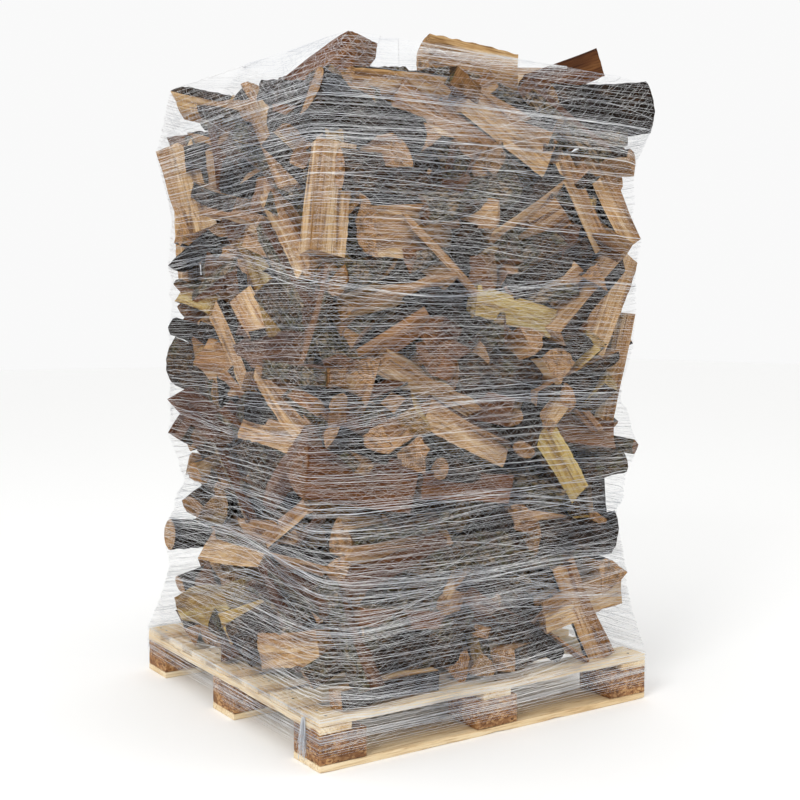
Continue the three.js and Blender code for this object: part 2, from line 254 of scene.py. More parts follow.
def log_part(rings, barked, pith, spacing, tone, seed):
    """One split log between two end rings (n x 3 points each), roughened like riven wood.

    rings hold local points with the length along z; pith is where the stem's
    centre ran, which the growth rings and the fibres are drawn from.
    """
    rng = np.random.default_rng(seed)
    low, kinds = resample(rings[0], barked, spacing)
    high = resample_like(rings[1], rings[0], barked, spacing)
    around = len(low)
    length = abs(high[:, 2].mean() - low[:, 2].mean())
    along = max(2, int(round(length / (spacing * 1.3))))
    t = np.linspace(0, 1, along + 1)[:, None, None]
    grid = low[None] * (1 - t) + high[None] * t
    centre = grid.mean(1, keepdims=True)
    offset = grid - centre
    offset[..., 2] = 0
    reach = np.linalg.norm(offset, axis=2, keepdims=True)
    outward = offset / np.maximum(reach, 1e-6)
    flat = grid.reshape(-1, 3)
    fibre = flat * np.array([1.0, 1.0, FIBRE_STRETCH])
    barky = np.where(kinds | np.roll(kinds, 1), 1.0, 0.0)
    barky = np.tile(barky, along + 1)
    torn = wavy(fibre, 0.026, seed + 1) + wavy(fibre, 0.011, seed + 2) * 0.5
    broad = wavy(flat * np.array([1.0, 1.0, 0.35]), 0.10, seed + 3)
    knobs = wavy(flat * np.array([1.0, 1.0, 0.6]), 0.02, seed + 4) + 0.5 * wavy(flat, 0.035, seed + 5)
    lift = np.where(barky > 0.5, knobs * 1.8 * MM + broad * 2.0 * MM, torn * 2.0 * MM + broad * 5.2 * MM)
    inset = np.minimum(1.0, reach.ravel() / PITH_CALM)
    grid = (flat + outward.reshape(-1, 3) * (lift * inset)[:, None]).reshape(grid.shape)
    bow = rng.uniform(-1, 1, 2) * BOW
    curve = (1 - (2 * t[:, :, 0] - 1) ** 2)
    grid[..., 0] += bow[0] * curve
    grid[..., 1] += bow[1] * curve
    twist = rng.uniform(-1, 1) * TWIST
    turn = (t[:, :, 0] - 0.5) * twist
    x, y = grid[..., 0].copy(), grid[..., 1].copy()
    grid[..., 0] = x * np.cos(turn) - y * np.sin(turn)
    grid[..., 1] = x * np.sin(turn) + y * np.cos(turn)
    verts = grid.reshape(-1, 3)
    faces, slots = [], []
    for row in range(along):
        for column in range(around):
            after = (column + 1) % around
            a, b = row * around + column, row * around + after
            faces.append((a, b, b + around, a + around))
            slots.append(BARK if kinds[column] else SPLIT)
    rim = len(verts)
    caps = np.concatenate([verts[:around], verts[-around:]])
    middles = np.stack([caps[:around].mean(0), caps[around:].mean(0)])
    verts = np.concatenate([verts, caps, middles])
    for cap, flip in ((0, True), (1, False)):
        for column in range(around):
            a = rim + cap * around + column
            b = rim + cap * around + (column + 1) % around
            middle = rim + 2 * around + cap
            faces.append((b, a, middle) if flip else (a, b, middle))
            slots.append(END)
    local = verts.copy()
    local[:, :2] -= pith
    local += rng.uniform(-1, 1, 3) * np.array([0, 0, 3.0])
    return {
        "verts": verts,
        "faces": faces,
        "slots": np.array(slots),
        "grain": local,
        "tone": np.full(len(verts), tone),
    }


def resample_like(ring, guide, barked, spacing):
    """Splits a ring's edges into as many pieces as the guide ring's."""
    points = []
    for index, start in enumerate(ring):
        end = ring[(index + 1) % len(ring)]
        guide_length = np.linalg.norm(guide[(index + 1) % len(guide)] - guide[index])
        pieces = max(1, int(round(guide_length / spacing)))
        for step in range(pieces):
            points.append(start + (end - start) * step / pieces)
    return np.array(points)


def place_part(part, basis, centre):
    """Turns a part's local points by a basis (rows are its axes) and moves it."""
    part["verts"] = part["verts"] @ basis + centre
    return part


BARK_EDGE = 38 * MM                 # a CAD log's edges shorter than this are steps of its bark


def node_rings(name):
    """The two end rings of a CAD log in local axes, with its basis, centre and bark edges."""
    mesh = NODES[name].data
    points = np.array([vertex.co for vertex in mesh.vertices], float)
    points = np.unique(np.round(points, 5), axis=0)
    centre = points.mean(0)
    spread = points - centre
    axis = np.linalg.svd(spread, full_matrices=False)[2][0]
    along = spread @ axis
    side = np.cross(axis, [0.0, 0.0, 1.0] if abs(axis[2]) < 0.8 else [1.0, 0.0, 0.0])
    side /= np.linalg.norm(side)
    basis = np.stack([side, np.cross(axis, side), axis])
    local = spread @ basis.T
    low = local[along < 0]
    high = local[along > 0]
    turns = np.arctan2(low[:, 1] - low[:, 1].mean(), low[:, 0] - low[:, 0].mean())
    low = low[np.argsort(turns)]
    gaps = np.linalg.norm(low[:, None, :2] - high[None, :, :2], axis=2)
    high = high[gaps.argmin(1)]
    edges = np.linalg.norm(np.roll(low, -1, 0) - low, axis=1)
    barked = edges < BARK_EDGE
    return (low, high), barked, basis, centre


PITH_BEYOND = 3.0                   # a slab's pith lay this many times farther out than its face


def pith_of(ring, barked):
    """Where the stem's centre ran: the corner between two split faces, or the middle of one."""
    count = len(ring)
    for index in range(count):
        if not barked[index] and not barked[index - 1]:
            return ring[index, :2]
    split = [index for index in range(count) if not barked[index]]
    if len(split) == 1:
        return (ring[split[0], :2] + ring[(split[0] + 1) % count, :2]) / 2
    if split:
        middle = ring[:, :2].mean(0)
        face = (ring[split[0], :2] + ring[(split[0] + 1) % count, :2]) / 2
        return middle + (face - middle) * PITH_BEYOND
    return ring[:, :2].mean(0)


# Where each slot's logs lie on the ramps that colour wood: 0 to 0.5 tan, then yellow, then brown.
TONE_RANGE = {
    "split_wood": (0.17, 0.29),
    "barked_wood": (0.0, 0.6),
    "yellow_wood": (0.60, 0.68),
    "brown_wood": (0.93, 1.0),
}


NAMED_SPACING = 9 * MM              # mesh spacing on the logs that show most


def named_log(name, materials):
    """One named log, rebuilt with riven faces, bark and sawn ends round its CAD prism."""
    (low, high), barked, basis, centre = node_rings(name)
    seed = SEED + sum(ord(letter) * (place + 3) for place, letter in enumerate(name))
    rng = np.random.default_rng(seed)
    tone = rng.uniform(*TONE_RANGE[SLOT_OF[name]])
    part = log_part((low, high), barked, pith_of(low, barked), NAMED_SPACING, tone, seed)
    place_part(part, basis, centre)
    made = mesh_object(name + "_riven", [part], materials, LOG_ATTRIBUTES)
    shade_by_angle(made, CRISP_ANGLE)
    place_piece(made, SLOT_OF[name], name)
    return made


# ---------------------------------------------------------------------------
# The heap's other logs: thrown in loosely, then pushed apart until they fit

HEAP_MIDDLE = np.array([0.024, -0.006, 0.0])
BEADS = np.array([-2.0, -1.0, 0.0, 1.0, 2.0]) / 2       # a log's five spheres, in half lengths

# The room that the net leaves the heap, in metres: half its width, the waist and the wider foot
# and the lean of its sides, each with its height, and its three kinds of upright corner.
HALF_WIDTH = 0.538
WAIST, WAIST_HEIGHT, WAIST_REACH = 0.040, 0.47, 0.14
FOOT, FOOT_TOP, FOOT_REACH = 0.024, 0.36, 0.15
LEAN, LEAN_START, LEAN_REACH = 0.05, 1.66, 0.24
CORNER, FAR_LEFT_CORNER, NEAR_RIGHT_CORNER = 0.06, 0.14, 0.004
HEAP_TOP, CROWN, CROWN_BEND = 1.80, 0.06, 2.5

# How the heap is started: a block of logs this wide and tall, so many times taller than
# wide, and a share of them against the net.
START_WIDTH, START_HEIGHT, TALLNESS = 1.06, 1.62, 1.55
WALL_SHARE, WALL_OUT, WALL_RUN = 0.34, 0.49, 0.42
LOG_LENGTH, LENGTH_SPREAD, SHORTEST, LONGEST = 0.325, 0.012, 0.29, 0.35
POKE = (-0.022, 0.03)               # how far a log may stand in from or out of the heap's side
BATCH = 500                         # spheres tested in one go
TOUCHING = 0.012                    # logs nearer than this are tested against each other
PAIR_ROUNDS = 5                     # rounds between two searches for logs that touch
BARK_OUT = 0.36                     # share of the logs that turn their bark outwards


def random_section(rng):
    """The outline of one split log, its bark edges, its pith and its tone."""
    kind = rng.random()
    if kind < 0.56:
        radius, spread = rng.uniform(0.064, 0.116), math.radians(rng.uniform(38, 95))
        outline, barked, pith = wedge_section(radius, spread, 5)
    elif kind < 0.68:
        outline, barked, pith = half_section(rng.uniform(0.036, 0.060), 8)
    elif kind < 0.78:
        outline, barked, pith = round_section(rng.uniform(0.022, 0.044), 12)
    elif kind < 0.91:
        outline, barked, pith = inner_section(
            rng.uniform(0.05, 0.09), rng.uniform(0.032, 0.055), rng.uniform(-0.012, 0.012))
    else:
        outline, barked, pith = inner_section(
            rng.uniform(0.022, 0.045), rng.uniform(0.010, 0.018), rng.uniform(-0.004, 0.004))
    outline = outline * (1 + rng.normal(0, 0.035, (len(outline), 1)))
    middle = outline.mean(0)
    return outline - middle, np.array(barked), pith - middle


def section_area(outline):
    x, y = outline[:, 0], outline[:, 1]
    return abs(np.dot(x, np.roll(y, -1)) - np.dot(y, np.roll(x, -1))) / 2


def heap_limit(height):
    """Half width of the space that the net leaves the heap, at a height."""
    waist = WAIST * np.exp(-((height - WAIST_HEIGHT) / WAIST_REACH) ** 2)
    foot = FOOT * smooth((FOOT_TOP - height) / FOOT_REACH)
    lean_in = LEAN * smooth((height - LEAN_START) / LEAN_REACH)
    return HALF_WIDTH - waist + foot - lean_in


def hold_in(points, radius, poke):
    """Moves points back inside the heap's space: a rounded square standing on the deck."""
    limit = heap_limit(points[..., 2]) + poke - radius
    held = points - HEAP_MIDDLE
    far_left = (held[..., 0] < 0) & (held[..., 1] > 0)
    near_right = (held[..., 0] > 0) & (held[..., 1] < 0)
    corner = np.where(far_left, FAR_LEFT_CORNER, np.where(near_right, NEAR_RIGHT_CORNER, CORNER))
    held[..., 0] = np.clip(held[..., 0], -limit, limit)
    held[..., 1] = np.clip(held[..., 1], -limit, limit)
    inner = limit - corner
    over = np.abs(held[..., :2]) - inner[..., None]
    in_corner = (over > 0).all(-1)
    reach = np.linalg.norm(np.maximum(over, 0), axis=-1)
    factor = np.where(in_corner & (reach > corner), corner / np.maximum(reach, 1e-9), 1.0)
    pulled = np.sign(held[..., :2]) * (inner[..., None] + np.maximum(over, 0) * factor[..., None])
    held[..., :2] = np.where(in_corner[..., None], pulled, held[..., :2])
    held[..., 2] = np.maximum(held[..., 2], DECK_TOP + radius)
    crown = CROWN * np.cos(held[..., 0] * CROWN_BEND) * np.cos(held[..., 1] * CROWN_BEND)
    top = HEAP_TOP + crown - radius
    held[..., 2] = np.minimum(held[..., 2], top)
    return held + HEAP_MIDDLE


def named_log_beads():
    """Spheres that fill the named logs and the room outside them, as fixed obstacles."""
    beads, radii = [], []
    for name in LOG_NODES:
        (low, high), _, basis, centre = node_rings(name)
        length = high[:, 2].mean() - low[:, 2].mean()
        radius = math.sqrt(section_area(low[:, :2]) / math.pi)
        outward = np.where(np.abs(centre) > 0.44, np.sign(centre), 0.0) * np.array([1.0, 1.0, 0.0])
        for place in BEADS * (length - 2 * radius) / 2:
            for step in (0.0, 1.4, 2.8):
                beads.append(centre + basis[2] * place + outward * step * radius)
                radii.append(radius)
    return np.array(beads), np.array(radii)


def tip_logs(count, rounds):
    """Places the heap's logs: their sections, lengths, middles, axes and radii."""
    rng = np.random.default_rng(SEED)
    sections = [random_section(rng) for _ in range(count)]
    lengths = rng.normal(LOG_LENGTH, LENGTH_SPREAD, count).clip(SHORTEST, LONGEST)
    radii = np.array([math.sqrt(section_area(section[0]) / math.pi) * 0.97 for section in sections])
    side = int(round((count / TALLNESS) ** (1 / 3)))
    layers = int(math.ceil(count / side ** 2))
    cells = [(i, j, k) for k in range(layers) for i in range(side) for j in range(side)]
    cells = np.array(cells, float)[:count]
    middles = (cells[:, :2] + 0.5) / side * START_WIDTH - START_WIDTH / 2
    heights = DECK_TOP + 0.05 + (cells[:, 2:] + 0.5) / layers * START_HEIGHT
    middles = np.concatenate([middles, heights], 1) + rng.normal(0, 0.03, (count, 3))
    axes = rng.normal(size=(count, 3)) * np.array([1.0, 1.0, 0.62])
    axes /= np.linalg.norm(axes, axis=1, keepdims=True)
    edge = int(count * WALL_SHARE)
    middles[:edge], axes[:edge] = wall_places(edge, rng)
    poke = rng.uniform(*POKE, count)[:, None]
    fixed, fixed_radii = named_log_beads()
    reach = (lengths - 2 * radii)[:, None] / 2 * BEADS[None]
    bead_radii = np.concatenate([np.repeat(radii, len(BEADS)), fixed_radii])
    owner = np.concatenate([np.repeat(np.arange(count), len(BEADS)), np.full(len(fixed), -1)])
    moving = count * len(BEADS)
    for step in range(rounds):
        beads = middles[:, None] + axes[:, None] * reach[..., None]
        every = np.concatenate([beads.reshape(-1, 3), fixed]).astype(np.float32)
        if step % PAIR_ROUNDS == 0:
            first, second = near_pairs(every, bead_radii, owner, moving)
        gap = every[first] - every[second]
        distance = np.linalg.norm(gap, axis=1) + 1e-6
        overlap = (bead_radii[first] + bead_radii[second] - distance).clip(0)
        push = gap / distance[:, None] * overlap[:, None]
        shared = (second < moving)[:, None]
        shift = np.zeros_like(every, dtype=np.float64)
        hits = np.zeros(len(every))
        np.add.at(shift, first, np.where(shared, push / 2, push))
        np.add.at(hits, first, overlap > 0)
        np.add.at(shift, second, np.where(shared, -push / 2, 0))
        np.add.at(hits, second, overlap > 0)
        shift = shift[:moving] / np.maximum(hits[:moving, None] ** 0.6, 1)
        moved = beads + shift.reshape(beads.shape)
        moved = hold_in(moved, radii[:, None], poke)
        middles = moved.mean(1)
        pull = (moved * reach[..., None]).sum(1) / (reach ** 2).sum(1)[:, None]
        axes = pull / np.linalg.norm(pull, axis=1, keepdims=True)
    return sections, lengths, middles, axes, radii


def wall_places(count, rng):
    """Middles and axes of logs that start against the net, all round and from the deck up."""
    run = rng.uniform(0, 4, count)
    side, along = run.astype(int), run % 1 * 2 - 1
    height = DECK_TOP + 0.04 + rng.random(count) ** 1.15 * 1.6
    turn = side * math.pi / 2
    over = along * WALL_RUN
    x = np.cos(turn) * WALL_OUT - np.sin(turn) * over
    y = np.sin(turn) * WALL_OUT + np.cos(turn) * over
    lean = rng.normal(0, 0.5, count)
    spin = rng.normal(0, 0.25, count)
    level = np.cos(lean)
    axes = np.stack([-np.sin(turn + spin) * level, np.cos(turn + spin) * level, np.sin(lean)], 1)
    return np.stack([x, y, height], 1), axes


def near_pairs(beads, radii, owner, moving):
    """Pairs of spheres of different logs that touch, or nearly do."""
    first, second = [], []
    squares = (beads ** 2).sum(1)
    margin = radii + TOUCHING
    for start in range(0, moving, BATCH):
        stop = min(start + BATCH, moving)
        gaps = squares[start:stop, None] + squares[None] - 2 * beads[start:stop] @ beads.T
        reach = (margin[start:stop, None] + margin[None]) ** 2
        rows, columns = np.nonzero(gaps < reach)
        rows += start
        keep = (columns > rows) & (owner[rows] != owner[columns])
        first.append(rows[keep])
        second.append(columns[keep])
    return np.concatenate(first), np.concatenate(second)


def heap_log(section, length, middle, axis, spacing, tone, seed):
    """One of the heap's logs, with its own taper, sawn ends and roll about its axis."""
    rng = np.random.default_rng(seed)
    outline, barked, pith = section
    taper = rng.uniform(-0.08, 0.08)
    rings = []
    for end in (-1, 1):
        lean = rng.uniform(-0.1, 0.1, 2)
        ring = outline * (1 + taper * end)
        height = end * length / 2 + ring @ lean
        rings.append(np.concatenate([ring, height[:, None]], 1))
    bark_out = rng.random() < BARK_OUT
    aim = middle * np.array([1.0, 1.0, 0.0]) if bark_out else rng.normal(size=3)
    side = aim - axis * (aim @ axis)
    side /= np.linalg.norm(side)
    basis = np.stack([side, np.cross(axis, side), axis])
    part = log_part(rings, barked, pith, spacing, tone, seed)
    return place_part(part, basis, middle)


def heap_tone(rng):
    """How a heap log's wood is coloured: mostly pale tan, some yellow, some brown."""
    kind = rng.random()
    if kind < 0.54:
        return rng.uniform(0.08, 0.5)
    if kind < 0.62:
        return rng.uniform(0.55, 0.7)
    return rng.uniform(0.7, 1.0)


# ---------------------------------------------------------------------------
# The net: how far it reaches at each height and direction

class NetShape:
    """The taut outline of everything in the net, row by row, as radii over angles."""

    STEP = 0.01                 # height of a row
    ANGLES = 288
    LOW = 0.03                  # height of the lowest row
    FLARE_TOP = 0.36            # from the deck up to here the net runs straight
    DRAWN_OVER = 9              # rows
    SLICE = 0.012               # points nearer a row than this count for it
    FEWEST = 8                  # points that make an outline
    BARE_RADIUS = 0.3
    FAR = 9.0

    def __init__(self, points):
        self.low = self.LOW
        self.rows = int((HEAP_HIGH.z + 0.02 - self.low) / self.STEP)
        self.angles = np.linspace(-math.pi, math.pi, self.ANGLES, endpoint=False)
        rows = [self.outline(points, self.low + k * self.STEP) for k in range(self.rows)]
        grid = drawn_tight(np.array(rows), self.DRAWN_OVER)
        deck = int(round((DECK_TOP - self.low) / self.STEP))
        load = int(round((self.FLARE_TOP - self.low) / self.STEP))
        for row in range(deck, load):
            share = (row - deck) / (load - deck)
            flare = grid[deck] * (1 - share) + grid[load] * share
            grid[row] = np.maximum(grid[row], flare)
        padded = np.pad(grid, ((1, 1), (0, 0)), mode="edge")
        self.grid = (padded[:-2] + 2 * padded[1:-1] + padded[2:]) / 4

    def outline(self, points, height):
        """Radii of the convex outline of the points near a height."""
        near = points[np.abs(points[:, 2] - height) < self.SLICE]
        if len(near) < self.FEWEST:
            return np.full(self.ANGLES, self.BARE_RADIUS)
        hull = convex_hull(near[:, :2])
        after = np.roll(hull, -1, 0)
        directions = np.stack([np.cos(self.angles), np.sin(self.angles)], 1)
        edge = after - hull
        normal = np.stack([edge[:, 1], -edge[:, 0]], 1)
        normal /= np.linalg.norm(normal, axis=1, keepdims=True) + 1e-12
        offset = (normal * hull).sum(1)
        slope = directions @ normal.T
        radii = np.where(slope > 1e-6, offset[None] / np.maximum(slope, 1e-6), self.FAR)
        return radii.min(1)

    def radius(self, angle, height):
        """Radius of the net at angles and heights, between the stored rows."""
        row = np.clip((height - self.low) / self.STEP, 0, self.rows - 1.001)
        column = (angle + math.pi) / (2 * math.pi) * self.ANGLES
        r0, c0 = np.floor(row).astype(int), np.floor(column).astype(int)
        fr, fc = row - r0, column - c0
        c0, c1 = c0 % self.ANGLES, (c0 + 1) % self.ANGLES
        lower = self.grid[r0, c0] * (1 - fc) + self.grid[r0, c1] * fc
        upper = self.grid[r0 + 1, c0] * (1 - fc) + self.grid[r0 + 1, c1] * fc
        return lower * (1 - fr) + upper * fr


def drawn_tight(grid, window):
    """Rows of radii with the net drawn straight over every hollow up to two windows high."""
    tight = grid.copy()
    rows = len(grid)
    for below in range(1, window + 1):
        for above in range(1, window + 1):
            lower, upper = grid[:rows - below - above], grid[below + above:]
            straight = (lower * above + upper * below) / (below + above)
            part = tight[below:rows - above]
            np.maximum(part, straight, out=part)
    return tight


def convex_hull(points):
    """The convex outline of 2-D points, anticlockwise."""
    ordered = points[np.lexsort((points[:, 1], points[:, 0]))]
    # Only the farthest point of each sector can be a corner worth keeping.
    sectors = np.linspace(-math.pi, math.pi, 241)
    turns = np.arctan2(points[:, 1], points[:, 0])
    reach = np.hypot(points[:, 0], points[:, 1])
    best = {}
    for index, place in enumerate(np.digitize(turns, sectors)):
        if place not in best or reach[index] > reach[best[place]]:
            best[place] = index
    if len(best) > 8:
        ordered = points[sorted(best.values(), key=lambda i: (points[i, 0], points[i, 1]))]
    chains = []
    for sweep in (ordered, ordered[::-1]):
        chain = []
        for point in sweep:
            while len(chain) > 1:
                a, b = chain[-2], chain[-1]
                if (b[0] - a[0]) * (point[1] - a[1]) - (b[1] - a[1]) * (point[0] - a[0]) > 0:
                    break
                chain.pop()
            chain.append(point)
        chains.append(chain[:-1])
    return np.array(chains[0] + chains[1])


def facing(points, rise):
    """Outward directions of the net at points: away from the load's middle, tipped up by a rise."""
    outward = points * np.array([1.0, 1.0, 0.0])
    outward /= np.linalg.norm(outward, axis=1, keepdims=True) + 1e-12
    outward[:, 2] = rise
    return outward / math.hypot(1.0, rise)


def ribbon(points, width, lift, rise=0.0):
    """A flat tape lying on the net's outline along a line of points: one face a step."""
    along = np.gradient(points, axis=0)
    along /= np.linalg.norm(along, axis=1, keepdims=True) + 1e-12
    outward = facing(points, rise)
    across = np.cross(outward, along)
    across /= np.linalg.norm(across, axis=1, keepdims=True) + 1e-12
    half = across * np.asarray(width).reshape(-1, 1) / 2
    base = points + outward * lift
    verts = np.stack([base - half, base + half], 1).reshape(-1, 3)
    count = len(points)
    faces = [(2 * i, 2 * i + 2, 2 * i + 3, 2 * i + 1) for i in range(count - 1)]
    return {"verts": verts, "faces": faces, "slots": np.zeros(len(faces))}


def strands(starts, ends, width, lift, rise=0.0):
    """Many short straight tapes at once: one face each."""
    along = ends - starts
    outward = facing(starts, rise)
    across = np.cross(outward, along)
    across /= np.linalg.norm(across, axis=1, keepdims=True) + 1e-12
    half = across * width / 2
    a, b = starts + outward * lift, ends + outward * lift
    verts = np.stack([a - half, b - half, b + half, a + half], 1).reshape(-1, 3)
    faces = [(4 * i, 4 * i + 1, 4 * i + 2, 4 * i + 3) for i in range(len(starts))]
    return {"verts": verts, "faces": faces, "slots": np.zeros(len(faces))}


def layer_heights(layer, turns, count, low, high, rng):
    """Height of each warp thread of one net layer over angles: evenly strung, then drawn
    together here and spread there, and climbing a little with every turn."""
    share = (np.arange(count)[:, None] + rng.uniform(-0.12, 0.12, (count, 1))) / (count - 1)
    sway = np.zeros((count, len(turns)))
    for wave in (1, 2, 3):
        size = rng.uniform(0.4, 1.0) * 0.042 / wave ** 1.3
        phase = rng.uniform(0, 6.28)
        bands = rng.uniform(2, 6)
        sway = sway + size * np.sin(turns[None] * wave + phase + share * bands)
    for _ in range(6):
        wave = rng.integers(9, 46)
        phase = rng.uniform(0, 6.28, (count, 1)) * 0.35 + rng.uniform(0, 6.28)
        sway = sway + rng.uniform(0.0003, 0.0008) * np.sin(turns[None] * wave + phase + share * 20)
    climb = (turns[None] / (2 * math.pi)) * (high - low) / (count - 1)
    heights = low + share * (high - low) + sway * smooth(share * 5) * smooth((1 - share) * 5)
    return heights + climb + rng.normal(0, 0.0009, (count, 1))


def net_layer(shape, layer, count, low, high, rng):
    """Warp threads and zigzag weft of one layer of net."""
    turns = np.linspace(-math.pi, math.pi, 201)
    heights = layer_heights(layer, turns, count, low, high, rng)
    parts = []
    lift = (1.5 + 1.1 * layer) * MM
    for row in range(count):
        level = np.maximum(heights[row], shape.low)
        radii = shape.radius(turns, level)
        line = np.stack([np.cos(turns) * radii, np.sin(turns) * radii, level], 1)
        width = rng.uniform(0.20, 0.50) * MM
        if rng.random() < 0.12:
            width = rng.uniform(0.7, 1.25) * MM
        parts.append(ribbon(line, width, lift))
    for row in range(count - 1):
        steps = int(rng.uniform(120, 165))
        corners = np.linspace(-math.pi, math.pi, steps + 1)
        wobble = corners + rng.normal(0, 0.011, steps + 1) + rng.uniform(0, 0.06)
        wobble = (wobble + math.pi) % (2 * math.pi) - math.pi
        lower = np.interp(wobble, turns, heights[row])
        upper = np.interp(wobble, turns, heights[row + 1])
        swap = (np.arange(steps + 1) + row) % 2 == 0
        level = np.maximum(np.where(swap, lower, upper), shape.low)
        radii = shape.radius(wobble, level)
        line = np.stack([np.cos(wobble) * radii, np.sin(wobble) * radii, level], 1)
        keep = np.abs(np.diff(wobble)) < 1.0
        parts.append(strands(line[:-1][keep], line[1:][keep], 0.19 * MM, lift))
    return parts


def gathered_net(shape, height, spread, slack, count, rng):
    """A rope of net threads drawn together round the load at one height."""
    turns = np.linspace(-math.pi, math.pi, 241)
    sway = slack * (np.sin(turns + rng.uniform(0, 6.28)) + 0.5 * np.sin(turns * 3 + rng.uniform(0, 6.28)))
    parts = []
    for _ in range(count):
        own = rng.normal(0, spread) * (1 + 0.7 * np.sin(turns * rng.integers(2, 6) + rng.uniform(0, 6.28)))
        level = np.maximum(height + sway + own, shape.low)
        radii = shape.radius(turns, level)
        line = np.stack([np.cos(turns) * radii, np.sin(turns) * radii, level], 1)
        parts.append(ribbon(line, rng.uniform(0.3, 0.8) * MM, rng.uniform(1.0, 5.0) * MM))
    return parts


def net_tail(start, count, rng):
    """The net's torn end: threads that hang in a loose rope from a corner of the deck."""
    drop = np.linspace(0, 1, 14)
    parts = []
    for _ in range(count):
        spread = rng.normal(0, 1.0, 2) * 0.007
        length = start[2] - rng.uniform(0.012, 0.05)
        curl = rng.uniform(0, 6.28)
        x = start[0] + spread[0] * (0.4 + drop) + 0.006 * np.sin(drop * 5 + curl) * drop
        y = start[1] + spread[1] * (0.4 + drop) + 0.006 * np.cos(drop * 4 + curl) * drop
        line = np.stack([x, y, start[2] - drop * length], 1)
        parts.append(ribbon(line, rng.uniform(0.5, 1.2) * MM, 0.0))
    return parts


def roof_rings(points, levels, tilt):
    """Closed rings of net where tilted planes cut the outline drawn tight over the load's top."""
    mesh = bmesh.new()
    for point in points:
        mesh.verts.new(point)
    bmesh.ops.convex_hull(mesh, input=mesh.verts, use_existing_faces=False)
    edges = np.array([[vertex.co[:] for vertex in edge.verts] for edge in mesh.edges])
    mesh.free()
    heights = edges[..., 2] + edges[..., 0] * tilt[0] + edges[..., 1] * tilt[1]
    rings = []
    for level in levels:
        gap = heights - level
        cut = edges[gap[:, 0] * gap[:, 1] < 0]
        gap = gap[gap[:, 0] * gap[:, 1] < 0]
        if len(cut) < 6:
            continue
        share = (gap[:, 0] / (gap[:, 0] - gap[:, 1]))[:, None]
        corners = cut[:, 0] + (cut[:, 1] - cut[:, 0]) * share
        rings.append(even_ring(convex_hull(corners[:, :2]), level, tilt))
    return rings


def even_ring(corners, level, tilt, steps=160):
    """Even points along a closed convex outline, lifted onto a tilted plane."""
    loop = np.concatenate([corners, corners[:1]])
    run = np.concatenate([[0.0], np.cumsum(np.linalg.norm(np.diff(loop, axis=0), axis=1))])
    places = np.linspace(0, run[-1], steps + 1)
    flat = np.stack([np.interp(places, run, loop[:, axis]) for axis in (0, 1)], 1)
    return np.concatenate([flat, (level - flat @ np.array(tilt))[:, None]], 1)


def roof_layer(points, low, high, count, tilt, rng):
    """Rings of warp thread over the load's top, with wefts from each ring to the next."""
    levels = np.linspace(low, high, count) + rng.normal(0, 0.0015, count)
    rings = roof_rings(points, levels, tilt)
    parts = [ribbon(ring, rng.uniform(0.45, 1.0) * MM, 2.0 * MM, 0.8) for ring in rings]
    for lower, upper in zip(rings[:-1], rings[1:]):
        start = rng.integers(0, 40)
        lower = lower[:-1]
        gaps = np.linalg.norm(upper[None, :-1, :2] - lower[:, None, :2], axis=2)
        upper = upper[gaps.argmin(1)]
        swap = (np.arange(len(lower)) + start) % 2 == 0
        line = np.where(swap[:, None], lower, upper)
        line = line + rng.normal(0, 0.0015, line.shape)
        parts.append(strands(line[:-1], line[1:], 0.42 * MM, 2.0 * MM, 0.8))
    return parts


# ---------------------------------------------------------------------------
# Materials

